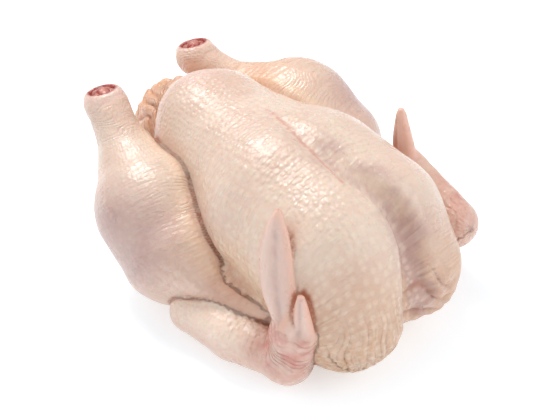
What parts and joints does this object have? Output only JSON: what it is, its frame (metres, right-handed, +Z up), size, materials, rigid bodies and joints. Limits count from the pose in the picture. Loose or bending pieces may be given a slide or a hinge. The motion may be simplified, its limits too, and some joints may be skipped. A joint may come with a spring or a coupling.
{
  "type": "whole raw chicken",
  "caption": "Plucked whole raw chicken lying on its back, breast up, with wings folded at the sides, slack vent skin, a tail and shanks cut off at the hock.",
  "frame": {"origin": "on the table, under the middle of the bird's bounding box", "axes": "+X from the vent to the neck end, +Y to the bird's right side, +Z up through the breast"},
  "size_m": [0.2622, 0.193, 0.1124],
  "materials": {
    "skin": "moist raw poultry skin, pale pinkish cream",
    "bone_end": "wet pinkish white cartilage"
  },
  "bodies": {
    "root": {"chicken": "skin", "left_hock_bone": "bone_end", "right_hock_bone": "bone_end"}
  },
  "joints": []
}
